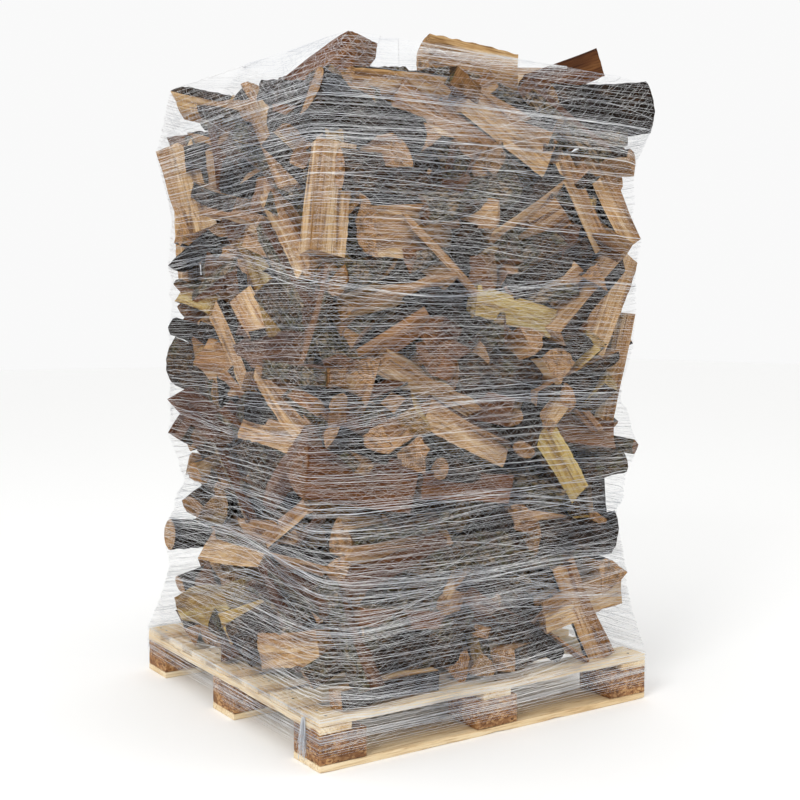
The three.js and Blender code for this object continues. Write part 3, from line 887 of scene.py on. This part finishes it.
def split_wood_material():
    """Riven hardwood, split along the grain and dried in the air: matt, pale to brown from
    log to log, with fibres and streaks that run along the log and a little dirt in patches."""
    material, shader, node = new_material(
        "riven_hardwood", Roughness=0.82, IOR=1.5, Specular_IOR_Level=0.25)
    grain = node("Attribute", {"attribute_name": "grain"}).outputs["Vector"]
    tone = node("Attribute", {"attribute_name": "tone"}).outputs["Fac"]
    # Fibre bundles about 5 mm across and 140 mm long, with finer ones in them, and streaks
    # about 26 mm across that run the log's length.
    fibre_place = node("Mapping", Vector=grain, Scale=(1.0, 1.0, 0.035))
    fibres = node("TexNoise", Vector=fibre_place, Scale=210.0, Detail=7.0, Roughness=0.68)
    streak_place = node("Mapping", Vector=grain, Scale=(1.0, 1.0, 0.08))
    streaks = node("TexNoise", Vector=streak_place, Scale=38.0, Detail=5.0, Roughness=0.6)
    wood = node("ValToRGB", {"stops": [
        (0.00, "#e0c69c"), (0.12, "#cba87c"), (0.24, "#ead2ab"), (0.36, "#b58f66"),
        (0.48, "#d4b488"), (0.56, "#c4b274"), (0.66, "#d8c785"), (0.72, "#8f6d4c"),
        (0.82, "#795538"), (0.92, "#6b4527"), (1.00, "#966838")
    ]}, Fac=tone)
    # Heartwood fills the stem's middle; the sapwood outside it is paler.
    flat = node("VectorMath", {"operation": "MULTIPLY"}, _0=grain, _1=(1.0, 1.0, 0.0))
    reach = node("VectorMath", {"operation": "LENGTH"}, _0=flat)
    heart = node("MapRange", Value=reach, From_Min=0.030, From_Max=0.062)
    aged = node("ValToRGB", {"stops": [(0.0, "#bda68c"), (0.75, "#ffffff"), (1.0, "#f0e8db")]}, Fac=heart)
    wood = node("Mix", TINT, _0=0.8, _6=wood, _7=aged)
    light = node("ValToRGB", {"stops": [
        (0.30, "#4f3b29"), (0.43, "#c9b497"), (0.58, "#ffffff"), (0.74, "#a98d6c")
    ]}, Fac=fibres)
    shaded = node("Mix", TINT, _0=0.85, _6=wood, _7=light)
    band = node("ValToRGB", {"stops": [
        (0.34, "#80603f"), (0.46, "#f2e6d2"), (0.60, "#ffffff"), (0.68, "#b8935f")
    ]}, Fac=streaks)
    banded = node("Mix", TINT, _0=0.85, _6=shaded, _7=band)
    place = node("TexCoord").outputs["Object"]
    dirt = node("TexNoise", Vector=place, Scale=9.0, Detail=5.0, Roughness=0.6)
    grime = node("ValToRGB", {"stops": [(0.38, 1.0), (0.62, 0.0)]}, Fac=dirt)
    amount = node("Math", {"operation": "MULTIPLY"}, _0=grime, _1=0.35)
    dirty = node("Mix", TINT, _0=amount, _6=banded, _7=linear("#8f8072"))
    bump = node("Bump", Height=fibres, Strength=0.75, Distance=2.2 * MM)
    cover(shader, dirty, bump)
    return material


def bark_material():
    """Air-dried hardwood bark: matt plates split by dark cracks, from near black through
    brown to a worn tan, with grey-green moss in patches."""
    material, shader, node = new_material("dry_hardwood_bark", Roughness=0.92, Specular_IOR_Level=0.2)
    grain = node("Attribute", {"attribute_name": "grain"}).outputs["Vector"]
    tone = node("Attribute", {"attribute_name": "tone"}).outputs["Fac"]
    # Bark plates about 12 mm across and 30 mm long.
    plate_place = node("Mapping", Vector=grain, Scale=(1.0, 1.0, 0.4))
    bend = node("TexNoise", Vector=plate_place, Scale=40.0, Detail=3.0)
    bent = node("Mix", {"data_type": "RGBA", "blend_type": "LINEAR_LIGHT"},
                _0=0.012, _6=plate_place, _7=bend.outputs["Color"])
    plates = node("TexVoronoi", {"feature": "DISTANCE_TO_EDGE"}, Vector=bent, Scale=75.0)
    crack = node("ValToRGB", {"stops": [(0.0, 0.0), (0.16, 1.0)]}, Fac=plates)
    rough = node("TexNoise", Vector=grain, Scale=120.0, Detail=7.0, Roughness=0.65)
    cloud = node("TexNoise", Vector=grain, Scale=14.0, Detail=4.0)
    shift = node("Math", {"operation": "MULTIPLY_ADD"}, _0=tone, _1=0.55, _2=-0.27)
    mixed = node("Math", {"operation": "ADD"}, _0=cloud, _1=shift)
    colour = node("ValToRGB", {"stops": [
        (0.28, "#1c120a"), (0.42, "#362415"), (0.52, "#4e3620"), (0.60, "#5b4429"),
        (0.68, "#4d4a33"), (0.82, "#8b7458")
    ]}, Fac=mixed)
    fleck = node("ValToRGB", {"stops": [
        (0.32, "#5c5048"), (0.55, "#ffffff"), (0.72, "#c9bba8")
    ]}, Fac=rough)
    flecked = node("Mix", TINT, _0=0.8, _6=colour, _7=fleck)
    cracked = node("Mix", {"data_type": "RGBA", "blend_type": "MIX"},
                   _0=crack, _6=linear("#1f1814"), _7=flecked)
    height = node("Math", {"operation": "MULTIPLY_ADD"}, _0=crack, _1=0.8, _2=rough)
    bump = node("Bump", Height=height, Strength=0.8, Distance=4 * MM)
    cover(shader, cracked, bump)
    return material


def end_grain_material():
    """Chain-sawn end grain: matt and a little darker than the split faces, with growth rings
    round the pith, drying cracks that run out from it, saw marks and a greyed dusty skin."""
    material, shader, node = new_material("sawn_end_grain", Roughness=0.88, Specular_IOR_Level=0.2)
    grain = node("Attribute", {"attribute_name": "grain"}).outputs["Vector"]
    tone = node("Attribute", {"attribute_name": "tone"}).outputs["Fac"]
    flat = node("Mapping", Vector=grain, Scale=(1.0, 1.0, 0.0))
    # Growth rings 6 mm apart, about twice as wide as real ones so that they show.
    rings = node("TexWave", {"wave_type": "RINGS", "rings_direction": "Z"},
                 Vector=flat, Scale=52.0, Distortion=1.4, Detail=3.0, Detail_Scale=1.5)
    wood = node("ValToRGB", {"stops": [
        (0.00, "#c8a87e"), (0.30, "#b89468"), (0.50, "#c09d72"), (0.60, "#b9a567"),
        (0.70, "#a4855c"), (0.85, "#74543a"), (1.00, "#8c6848")
    ]}, Fac=tone)
    ring_shade = node("ValToRGB", {"stops": [(0.0, "#8f7358"), (0.6, "#ffffff")]}, Fac=rings)
    ringed = node("Mix", TINT, _0=0.7, _6=wood, _7=ring_shade)
    # Cracks keep to one bearing from the pith, so their noise runs fast round it and slowly outwards.
    split = node("SeparateXYZ", Vector=grain)
    bearing = node("Math", {"operation": "ARCTAN2"}, _0=split.outputs["Y"], _1=split.outputs["X"])
    reach = node("VectorMath", {"operation": "LENGTH"}, _0=flat)
    ray = node("CombineXYZ", X=bearing, Y=reach, Z=tone)
    stretched = node("Mapping", Vector=ray, Scale=(2.4, 9.0, 40.0))
    drying = node("TexNoise", Vector=stretched, Scale=1.6, Detail=3.0, Roughness=0.55)
    crack = node("ValToRGB", {"stops": [
        (0.475, 0.0), (0.497, 1.0), (0.503, 1.0), (0.525, 0.0)
    ]}, Fac=drying)
    amount = node("Math", {"operation": "MULTIPLY"}, _0=crack, _1=0.72)
    cracked = node("Mix", {"data_type": "RGBA"}, _0=amount, _6=ringed, _7=linear("#3d2a1c"))
    # Saw marks about 3 mm apart, straight across the end.
    across = node("Mapping", Vector=flat, Scale=(1.0, 0.06, 1.0))
    marks = node("TexNoise", Vector=across, Scale=300.0, Detail=2.0)
    mark_shade = node("ValToRGB", {"stops": [(0.36, "#a88f74"), (0.56, "#ffffff")]}, Fac=marks)
    marked = node("Mix", TINT, _0=0.6, _6=cracked, _7=mark_shade)
    dust = node("TexNoise", Vector=grain, Scale=42.0, Detail=6.0, Roughness=0.7)
    dust_shade = node("ValToRGB", {"stops": [
        (0.34, "#6a5442"), (0.52, "#eddcc6"), (0.70, "#ffffff")
    ]}, Fac=dust)
    dusty = node("Mix", TINT, _0=0.75, _6=marked, _7=dust_shade)
    height = node("Math", {"operation": "MULTIPLY_ADD"}, _0=marks, _1=0.5, _2=dust)
    bump = node("Bump", Height=height, Strength=0.6, Distance=2 * MM)
    cover(shader, dusty, bump)
    return material


def board_material(name, along_y):
    """Sawn spruce board, new: pale and matt, with fine grain along the board and a few
    knots."""
    material, shader, node = new_material(name, Roughness=0.75, Specular_IOR_Level=0.3)
    place = node("TexCoord").outputs["Object"]
    stretch = (1.0, 0.045, 1.0) if along_y else (0.045, 1.0, 1.0)
    run = node("Mapping", Vector=place, Scale=stretch)
    grain = node("TexNoise", Vector=run, Scale=190.0, Detail=6.0, Roughness=0.6, Distortion=0.6)
    tone = node("TexNoise", Vector=run, Scale=11.0, Detail=3.0)
    colour = node("ValToRGB", {"stops": [
        (0.30, "#dcc39b"), (0.48, "#e9d8b8"), (0.60, "#efe2c8"), (0.75, "#d3b68a")
    ]}, Fac=tone)
    line = node("ValToRGB", {"stops": [
        (0.34, "#b08d62"), (0.50, "#f4ead8"), (0.66, "#ffffff")
    ]}, Fac=grain)
    lined = node("Mix", TINT, _0=0.7, _6=colour, _7=line)
    knot_place = node("Mapping", Vector=place, Scale=(1.0, 0.5, 1.0) if along_y else (0.5, 1.0, 1.0))
    knots = node("TexVoronoi", Vector=knot_place, Scale=7.0)
    knot = node("ValToRGB", {"stops": [(0.0, 1.0), (0.06, 0.9), (0.10, 0.0)]}, Fac=knots)
    knotty = node("Mix", {"data_type": "RGBA"}, _0=knot, _6=lined, _7=linear("#8c5c34"))
    bump = node("Bump", Height=grain, Strength=0.5, Distance=1.2 * MM)
    cover(shader, knotty, bump)
    return material


def pressed_chip_material():
    """Pressed wood-chip block: brown resin-bound chips a few millimetres long, matt, with
    lighter flakes scattered through it."""
    material, shader, node = new_material("pressed_wood_chips", Roughness=0.8)
    place = node("TexCoord").outputs["Object"]
    # Chips about 9 mm long and 5 mm thick.
    run = node("Mapping", Vector=place, Scale=(0.6, 0.6, 1.0))
    chips = node("TexVoronoi", Vector=run, Scale=190.0)
    edges = node("TexVoronoi", {"feature": "DISTANCE_TO_EDGE"}, Vector=run, Scale=190.0)
    pick = node("SeparateColor", Color=chips.outputs["Color"])
    colour = node("ValToRGB", {"stops": [
        (0.0, "#6d4526"), (0.35, "#8c5f36"), (0.7, "#a5774a"), (1.0, "#c29a69")
    ]}, Fac=pick.outputs["Red"])
    cloud = node("TexNoise", Vector=place, Scale=16.0, Detail=4.0)
    shade = node("ValToRGB", {"stops": [(0.35, "#8a7460"), (0.6, "#ffffff")]}, Fac=cloud)
    shaded = node("Mix", TINT, _0=0.6, _6=colour, _7=shade)
    bump = node("Bump", Height=edges, Strength=0.7, Distance=3 * MM)
    cover(shader, shaded, bump)
    return material


def net_material(colour):
    """Knitted polyethylene tape, stretched tight: thin, white with a cold cast, a little
    shiny where it lies flat to the light."""
    material, shader, node = new_material(
        "knitted_polyethylene_tape", Roughness=0.38, IOR=1.51, Specular_IOR_Level=0.5)
    place = node("TexCoord").outputs["Object"]
    cloud = node("TexNoise", Vector=place, Scale=6.0, Detail=3.0)
    ramp = node("ValToRGB", {"stops": [(0.35, "#adb2ba"), (0.5, colour), (0.65, "#eeefef")]}, Fac=cloud)
    cover(shader, ramp)
    return material


def steel_nail_material():
    """Bright steel nail head, driven flush: metallic and dulled by the hammer."""
    material, shader, node = new_material("steel_nail_head", Metallic=1.0, Roughness=0.5)
    place = node("TexCoord").outputs["Object"]
    spots = node("TexNoise", Vector=place, Scale=900.0, Detail=3.0)
    ramp = node("ValToRGB", {"stops": [(0.35, "#5c5a58"), (0.65, "#9a9894")]}, Fac=spots)
    cover(shader, ramp)
    return material


# ---------------------------------------------------------------------------
# Pallet pieces

def worn_box(name, node, material, slot, cuts, wear, seed):
    """A board or block over its CAD box, with worn edges and a slightly uneven surface."""
    low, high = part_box(node)
    size = high - low
    mesh = bmesh.new()
    bmesh.ops.create_cube(mesh, size=1.0)
    bmesh.ops.scale(mesh, vec=size, verts=mesh.verts)
    bmesh.ops.bevel(mesh, geom=list(mesh.edges), offset=wear, segments=2, affect="EDGES", profile=0.6)
    for axis in range(3):
        pieces = cuts[axis]
        for step in range(1, pieces):
            place = Vector((0, 0, 0))
            place[axis] = size[axis] * (step / pieces - 0.5)
            normal = Vector((0, 0, 0))
            normal[axis] = 1.0
            everything = list(mesh.verts) + list(mesh.edges) + list(mesh.faces)
            bmesh.ops.bisect_plane(mesh, geom=everything, plane_co=place, plane_no=normal)
    bmesh.ops.translate(mesh, vec=(low + high) / 2, verts=mesh.verts)
    data = bpy.data.meshes.new(name)
    mesh.to_mesh(data)
    mesh.free()
    points = np.array([vertex.co for vertex in data.vertices], float)
    middle = np.array((low + high) / 2)
    sides = points - middle
    edge_like = (np.abs(sides) > np.array(size) / 2 - wear * 1.05).sum(1) > 1
    chip = wavy(points, 0.05, seed).clip(0.35, 1) - 0.35
    chip = np.where(edge_like, chip, 0)[:, None] * 0.0035
    points -= np.sign(sides) * chip * (np.abs(sides) > np.array(size) / 2 - wear * 1.05)
    points -= np.sign(sides) * (wavy(points, 0.16, seed + 1)[:, None].clip(0) * 0.0005)
    data.vertices.foreach_set("co", points.ravel())
    data.materials.append(material)
    made = bpy.data.objects.new(name, data)
    bpy.context.scene.collection.objects.link(made)
    shade_by_angle(made, 30)
    place_piece(made, slot, node)
    return made


def nail_heads(material):
    """Two nails wherever a deck board crosses a stringer, with low domed heads."""
    parts = []
    radius, dome, ring = 4.2 * MM, 0.8 * MM, 10
    turns = np.linspace(0, 2 * math.pi, ring, endpoint=False)
    rng = np.random.default_rng(SEED + 7)
    for board in [name for name in NODES if name.startswith("deck_board_")]:
        low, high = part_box(board)
        for stringer in ("stringer_left", "stringer_centre", "stringer_right"):
            s_low, s_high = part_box(stringer)
            for share in (0.28, 0.72):
                x = s_low.x + (s_high.x - s_low.x) * (0.5 + rng.uniform(-0.2, 0.2))
                y = low.y + (high.y - low.y) * share + rng.uniform(-0.004, 0.004)
                rim = np.stack([np.cos(turns) * radius + x, np.sin(turns) * radius + y,
                                np.full(ring, high.z - 0.0002)], 1)
                shoulder = rim * 1.0
                shoulder[:, 0] = x + (rim[:, 0] - x) * 0.7
                shoulder[:, 1] = y + (rim[:, 1] - y) * 0.7
                shoulder[:, 2] += dome * 0.8
                verts = np.concatenate([rim, shoulder, [[x, y, high.z + dome]]])
                faces = []
                for k in range(ring):
                    after = (k + 1) % ring
                    faces.append((k, after, ring + after, ring + k))
                    faces.append((ring + k, ring + after, 2 * ring))
                parts.append({"verts": verts, "faces": faces, "slots": np.zeros(len(faces))})
    made = mesh_object("nail_heads", parts, [material])
    shade_by_angle(made, 60)
    place_piece(made, "new_board")
    return made


# ---------------------------------------------------------------------------
# Properties

class HeapSettings(bpy.types.PropertyGroup):
    count: bpy.props.IntProperty(
        name="Logs", description="Logs in the heap besides the named ones", default=860, min=50, max=1500)
    rounds: bpy.props.IntProperty(
        name="Rounds", description="How often the logs are pushed apart", default=140, min=1, max=600)
    outer_depth: bpy.props.FloatProperty(
        name="Outer depth", description="Logs nearer than this to a side are made in full detail",
        default=0.19, min=0.0, max=1.0, subtype="DISTANCE", unit="LENGTH")
    outer_spacing: bpy.props.FloatProperty(
        name="Outer spacing", description="Mesh spacing on the logs that show",
        default=0.016, min=0.005, max=0.1, subtype="DISTANCE", unit="LENGTH")
    inner_spacing: bpy.props.FloatProperty(
        name="Inner spacing", description="Mesh spacing on the logs deep inside",
        default=0.12, min=0.02, max=0.5, subtype="DISTANCE", unit="LENGTH")


class NetSettings(bpy.types.PropertyGroup):
    layers: bpy.props.IntProperty(
        name="Layers", description="Turns of net over each other", default=4, min=1, max=6)
    thread_spacing: bpy.props.FloatProperty(
        name="Thread spacing", description="Height between the warp threads of one layer",
        default=0.019, min=0.01, max=0.1, subtype="DISTANCE", unit="LENGTH")
    bottom: bpy.props.FloatProperty(
        name="Bottom", description="Height of the net's lower edge round the pallet's blocks",
        default=0.045, min=0.0, max=0.2, subtype="DISTANCE", unit="LENGTH")
    roof_start: bpy.props.FloatProperty(
        name="Roof start", description="Height where the net turns in over the load's top",
        default=1.74, min=0.5, max=2.5, subtype="DISTANCE", unit="LENGTH")
    colour: bpy.props.StringProperty(
        name="Colour", description="sRGB colour of the net's tape", default="#dadcdf")


class StageSettings(bpy.types.PropertyGroup):
    camera_place: bpy.props.FloatVectorProperty(
        name="Camera place", description="Where the camera stands", default=(-2.048, -3.162, 1.126),
        subtype="XYZ", unit="LENGTH")
    camera_heading: bpy.props.FloatProperty(
        name="Camera heading", description="Turn of the view from +Y towards +X",
        default=math.radians(33.58), subtype="ANGLE")
    camera_tilt: bpy.props.FloatProperty(
        name="Camera tilt", description="How far the camera looks down",
        default=math.radians(3.4), subtype="ANGLE")
    camera_lens: bpy.props.FloatProperty(
        name="Lens", description="Focal length for a 36 mm sensor", default=54.0, min=10.0, max=200.0)
    sky: bpy.props.FloatProperty(
        name="Sky", description="Strength of the even light from all round", default=0.95, min=0.0, max=5.0)


# ---------------------------------------------------------------------------
# Operators

LOG_MATERIALS = []
NET_POINTS = []
NODE_POINTS = {}


def log_materials():
    """The three finishes that every log has, made once."""
    if not LOG_MATERIALS:
        LOG_MATERIALS.extend([split_wood_material(), bark_material(), end_grain_material()])
    return LOG_MATERIALS


class FIREWOOD_OT_pallet(bpy.types.Operator):
    """Makes the pallet's boards, blocks and nails over their CAD boxes"""
    bl_idname = "firewood.pallet"
    bl_label = "Pallet"

    def execute(self, context):
        lengthwise = board_material("sawn_spruce_board", False)
        crosswise = board_material("sawn_spruce_stringer", True)
        chips = pressed_chip_material()
        for index, node in enumerate(sorted(PALLET_NODES)):
            across = node.startswith("stringer_")
            cuts = (4, 26, 1) if across else (26, 4, 1)
            worn_box(node + "_sawn", node, crosswise if across else lengthwise, "new_board",
                     cuts, 1.6 * MM, SEED + index)
        for index, node in enumerate(sorted(BLOCK_NODES)):
            worn_box(node + "_pressed", node, chips, "pressed_chips", (8, 8, 5), 3.0 * MM,
                     SEED + 50 + index)
        nail_heads(steel_nail_material())
        return {"FINISHED"}


class FIREWOOD_OT_named_logs(bpy.types.Operator):
    """Makes the logs that show most, each over its CAD prism"""
    bl_idname = "firewood.named_logs"
    bl_label = "Named logs"

    def execute(self, context):
        for name in LOG_NODES:
            made = named_log(name, log_materials())
            NODE_POINTS[name] = np.array([vertex.co for vertex in made.data.vertices])
            if not name.startswith("loose_log_"):
                NET_POINTS.append(NODE_POINTS[name])
        return {"FINISHED"}


class FIREWOOD_OT_heap(bpy.types.Operator):
    """Tips the heap's other logs in between the named ones"""
    bl_idname = "firewood.heap"
    bl_label = "Heap"

    LAYERS = 6

    def execute(self, context):
        settings = context.scene.firewood_heap
        sections, lengths, middles, axes, radii = tip_logs(settings.count, settings.rounds)
        rng = np.random.default_rng(SEED + 1)
        parts = [[] for _ in range(self.LAYERS)]
        for index, middle in enumerate(middles):
            tone = heap_tone(rng)
            side_gap = heap_limit(middle[2]) - np.abs(middle[:2]).max()
            shows = side_gap < settings.outer_depth or middle[2] > 1.62
            spacing = settings.outer_spacing if shows else settings.inner_spacing
            part = heap_log(sections[index], lengths[index], middle, axes[index], spacing, tone,
                            SEED + index)
            share = (middle[2] - DECK_TOP) / (HEAP_HIGH.z - DECK_TOP)
            parts[int(np.clip(share * self.LAYERS, 0, self.LAYERS - 1))].append(part)
            NET_POINTS.append(part["verts"])
        for level, group in enumerate(parts):
            made = mesh_object(f"tipped_logs_{level + 1}", group, log_materials(), LOG_ATTRIBUTES)
            shade_by_angle(made, CRISP_ANGLE)
            place_piece(made, "barked_wood", "log_pile")
        return {"FINISHED"}


class FIREWOOD_OT_net(bpy.types.Operator):
    """Winds the net round the load and the pallet's edge"""
    bl_idname = "firewood.net"
    bl_label = "Net"

    # Each gather's height, how far its threads spread, how far it sways, and its threads.
    GATHERS = (
        (0.134, 0.004, 0.003, 13), (0.086, 0.012, 0.008, 12), (0.19, 0.024, 0.025, 16),
        (0.31, 0.035, 0.04, 26), (0.47, 0.034, 0.04, 30), (0.62, 0.03, 0.04, 14),
        (0.90, 0.022, 0.05, 10), (1.28, 0.020, 0.06, 9), (1.66, 0.026, 0.03, 12),
    )
    # Where the net goes round more often, under the roof and at the foot: from, to, threads.
    BANDS = ((1.46, 1.78, 17), (1.60, 1.80, 11), (0.06, 0.42, 14))
    # The logs that hold up the roof, and the ways that its layers of net tilt.
    OVER = ("log_ridge", "log_far_corner_top", "log_top_right_bark")
    ROOF_TILTS = ((0.0, 0.0), (0.05, -0.03), (-0.04, 0.05))
    ROOF_THREADS = 12
    TAIL_THREADS = 46

    def execute(self, context):
        settings = context.scene.firewood_net
        half, deck = PALLET_HALF, DECK_TOP
        rim = [(x, y, z) for x in (-half, half) for y in (-half, half)
               for z in np.arange(0.0, deck + 0.001, 0.005)]
        shape = NetShape(np.concatenate(NET_POINTS + [np.array(rim)]))
        material = net_material(settings.colour)
        top = settings.roof_start
        rng = np.random.default_rng(SEED + 2)
        pieces = {}
        for layer in range(settings.layers):
            low = settings.bottom + layer * 0.007
            high = top - layer * 0.006
            count = int((high - low) / settings.thread_spacing)
            pieces[f"net_layer_{layer + 1}"] = net_layer(shape, layer, count, low, high, rng)
        pieces["net_bands"] = []
        for low, high, count in self.BANDS:
            pieces["net_bands"].extend(net_layer(shape, settings.layers, count, low, high, rng))
        tail_start = (-half - 0.006, -half + 0.075, deck - 0.01)
        pieces["net_gathers"] = net_tail(tail_start, self.TAIL_THREADS, rng)
        for gather in self.GATHERS:
            pieces["net_gathers"].extend(gathered_net(shape, *gather, rng))
        held = [NODE_POINTS[name] for name in self.OVER]
        edge = np.stack([np.cos(shape.angles), np.sin(shape.angles)], 1)
        for height in (top - 0.06, top):
            level = np.full(shape.ANGLES, height)
            held.append(np.column_stack([edge * shape.radius(shape.angles, level)[:, None], level]))
        held = np.concatenate(held)
        pieces["net_roof"] = []
        for tilt in self.ROOF_TILTS:
            pieces["net_roof"].extend(
                roof_layer(held, top - 0.02, HEAP_HIGH.z + 0.08, self.ROOF_THREADS, tilt, rng))
        for name, parts in pieces.items():
            place_piece(mesh_object(name, parts, [material]), "net_thread", "net_wrap")
        return {"FINISHED"}


class FIREWOOD_OT_stage(bpy.types.Operator):
    """Sets the pale floor, the soft lights and the camera"""
    bl_idname = "firewood.stage"
    bl_label = "Stage"

    def execute(self, context):
        settings = context.scene.firewood_stage
        scene = context.scene
        scene.view_settings.view_transform = "Standard"
        floor_mesh = bpy.data.meshes.new("floor")
        size = 30.0
        floor_mesh.from_pydata([(-size, -size, 0), (size, -size, 0), (size, size, 0), (-size, size, 0)], [],
                               [(0, 1, 2, 3)])
        floor = bpy.data.objects.new("floor", floor_mesh)
        scene.collection.objects.link(floor)
        floor.location.z = -0.5 * MM
        material, shader, node = new_material("pale_floor")
        shader.inputs["Base Color"].default_value = linear("#fdfdfc")
        shader.inputs["Roughness"].default_value = 0.9
        floor_mesh.materials.append(material)
        world = bpy.data.worlds.new("studio")
        scene.world = world
        world.use_nodes = True
        background = world.node_tree.nodes["Background"]
        background.inputs["Color"].default_value = linear("#ffffff")
        background.inputs["Strength"].default_value = settings.sky
        for name, place, aim, size, power in (
                ("key", (-4.9, -2.9, 4.2), (0, 0, 0.9), 2.2, 165.0),
                ("fill", (4.4, -3.4, 3.0), (0, 0, 0.9), 3.5, 30.0)):
            light = bpy.data.lights.new(name, "AREA")
            light.size = size
            light.energy = power
            lamp = bpy.data.objects.new(name, light)
            lamp.location = place
            lamp.rotation_euler = (Vector(aim) - Vector(place)).to_track_quat("-Z", "Y").to_euler()
            scene.collection.objects.link(lamp)
        data = bpy.data.cameras.new("camera")
        data.lens = settings.camera_lens
        data.sensor_width = 36.0
        camera = bpy.data.objects.new("camera", data)
        camera.location = settings.camera_place
        camera.rotation_euler = (math.pi / 2 - settings.camera_tilt, 0.0, -settings.camera_heading)
        scene.collection.objects.link(camera)
        scene.camera = camera
        return {"FINISHED"}


class FIREWOOD_PT_panel(bpy.types.Panel):
    """Lists the steps that build the firewood pallet"""
    bl_idname = "FIREWOOD_PT_panel"
    bl_label = "Firewood"
    bl_space_type = "VIEW_3D"
    bl_region_type = "UI"
    bl_category = "Firewood"

    def draw(self, context):
        scene = context.scene
        for group in (scene.firewood_heap, scene.firewood_net, scene.firewood_stage):
            box = self.layout.box()
            for name in group.__annotations__:
                box.prop(group, name)
        for step in STEPS:
            self.layout.operator(step.bl_idname)


SETTINGS = {
    "firewood_heap": HeapSettings,
    "firewood_net": NetSettings,
    "firewood_stage": StageSettings,
}
STEPS = (
    FIREWOOD_OT_stage,
    FIREWOOD_OT_pallet,
    FIREWOOD_OT_named_logs,
    FIREWOOD_OT_heap,
    FIREWOOD_OT_net,
)


def register():
    for name, group in SETTINGS.items():
        bpy.utils.register_class(group)
        setattr(bpy.types.Scene, name, bpy.props.PointerProperty(type=group))
    for step in STEPS:
        bpy.utils.register_class(step)
    bpy.utils.register_class(FIREWOOD_PT_panel)


def unregister():
    bpy.utils.unregister_class(FIREWOOD_PT_panel)
    for step in reversed(STEPS):
        bpy.utils.unregister_class(step)
    for name, group in SETTINGS.items():
        delattr(bpy.types.Scene, name)
        bpy.utils.unregister_class(group)


def main():
    register()
    bpy.ops.firewood.stage()
    bpy.ops.firewood.pallet()
    bpy.ops.firewood.named_logs()
    bpy.ops.firewood.heap()
    bpy.ops.firewood.net()


if __name__ == "__main__":
    main()
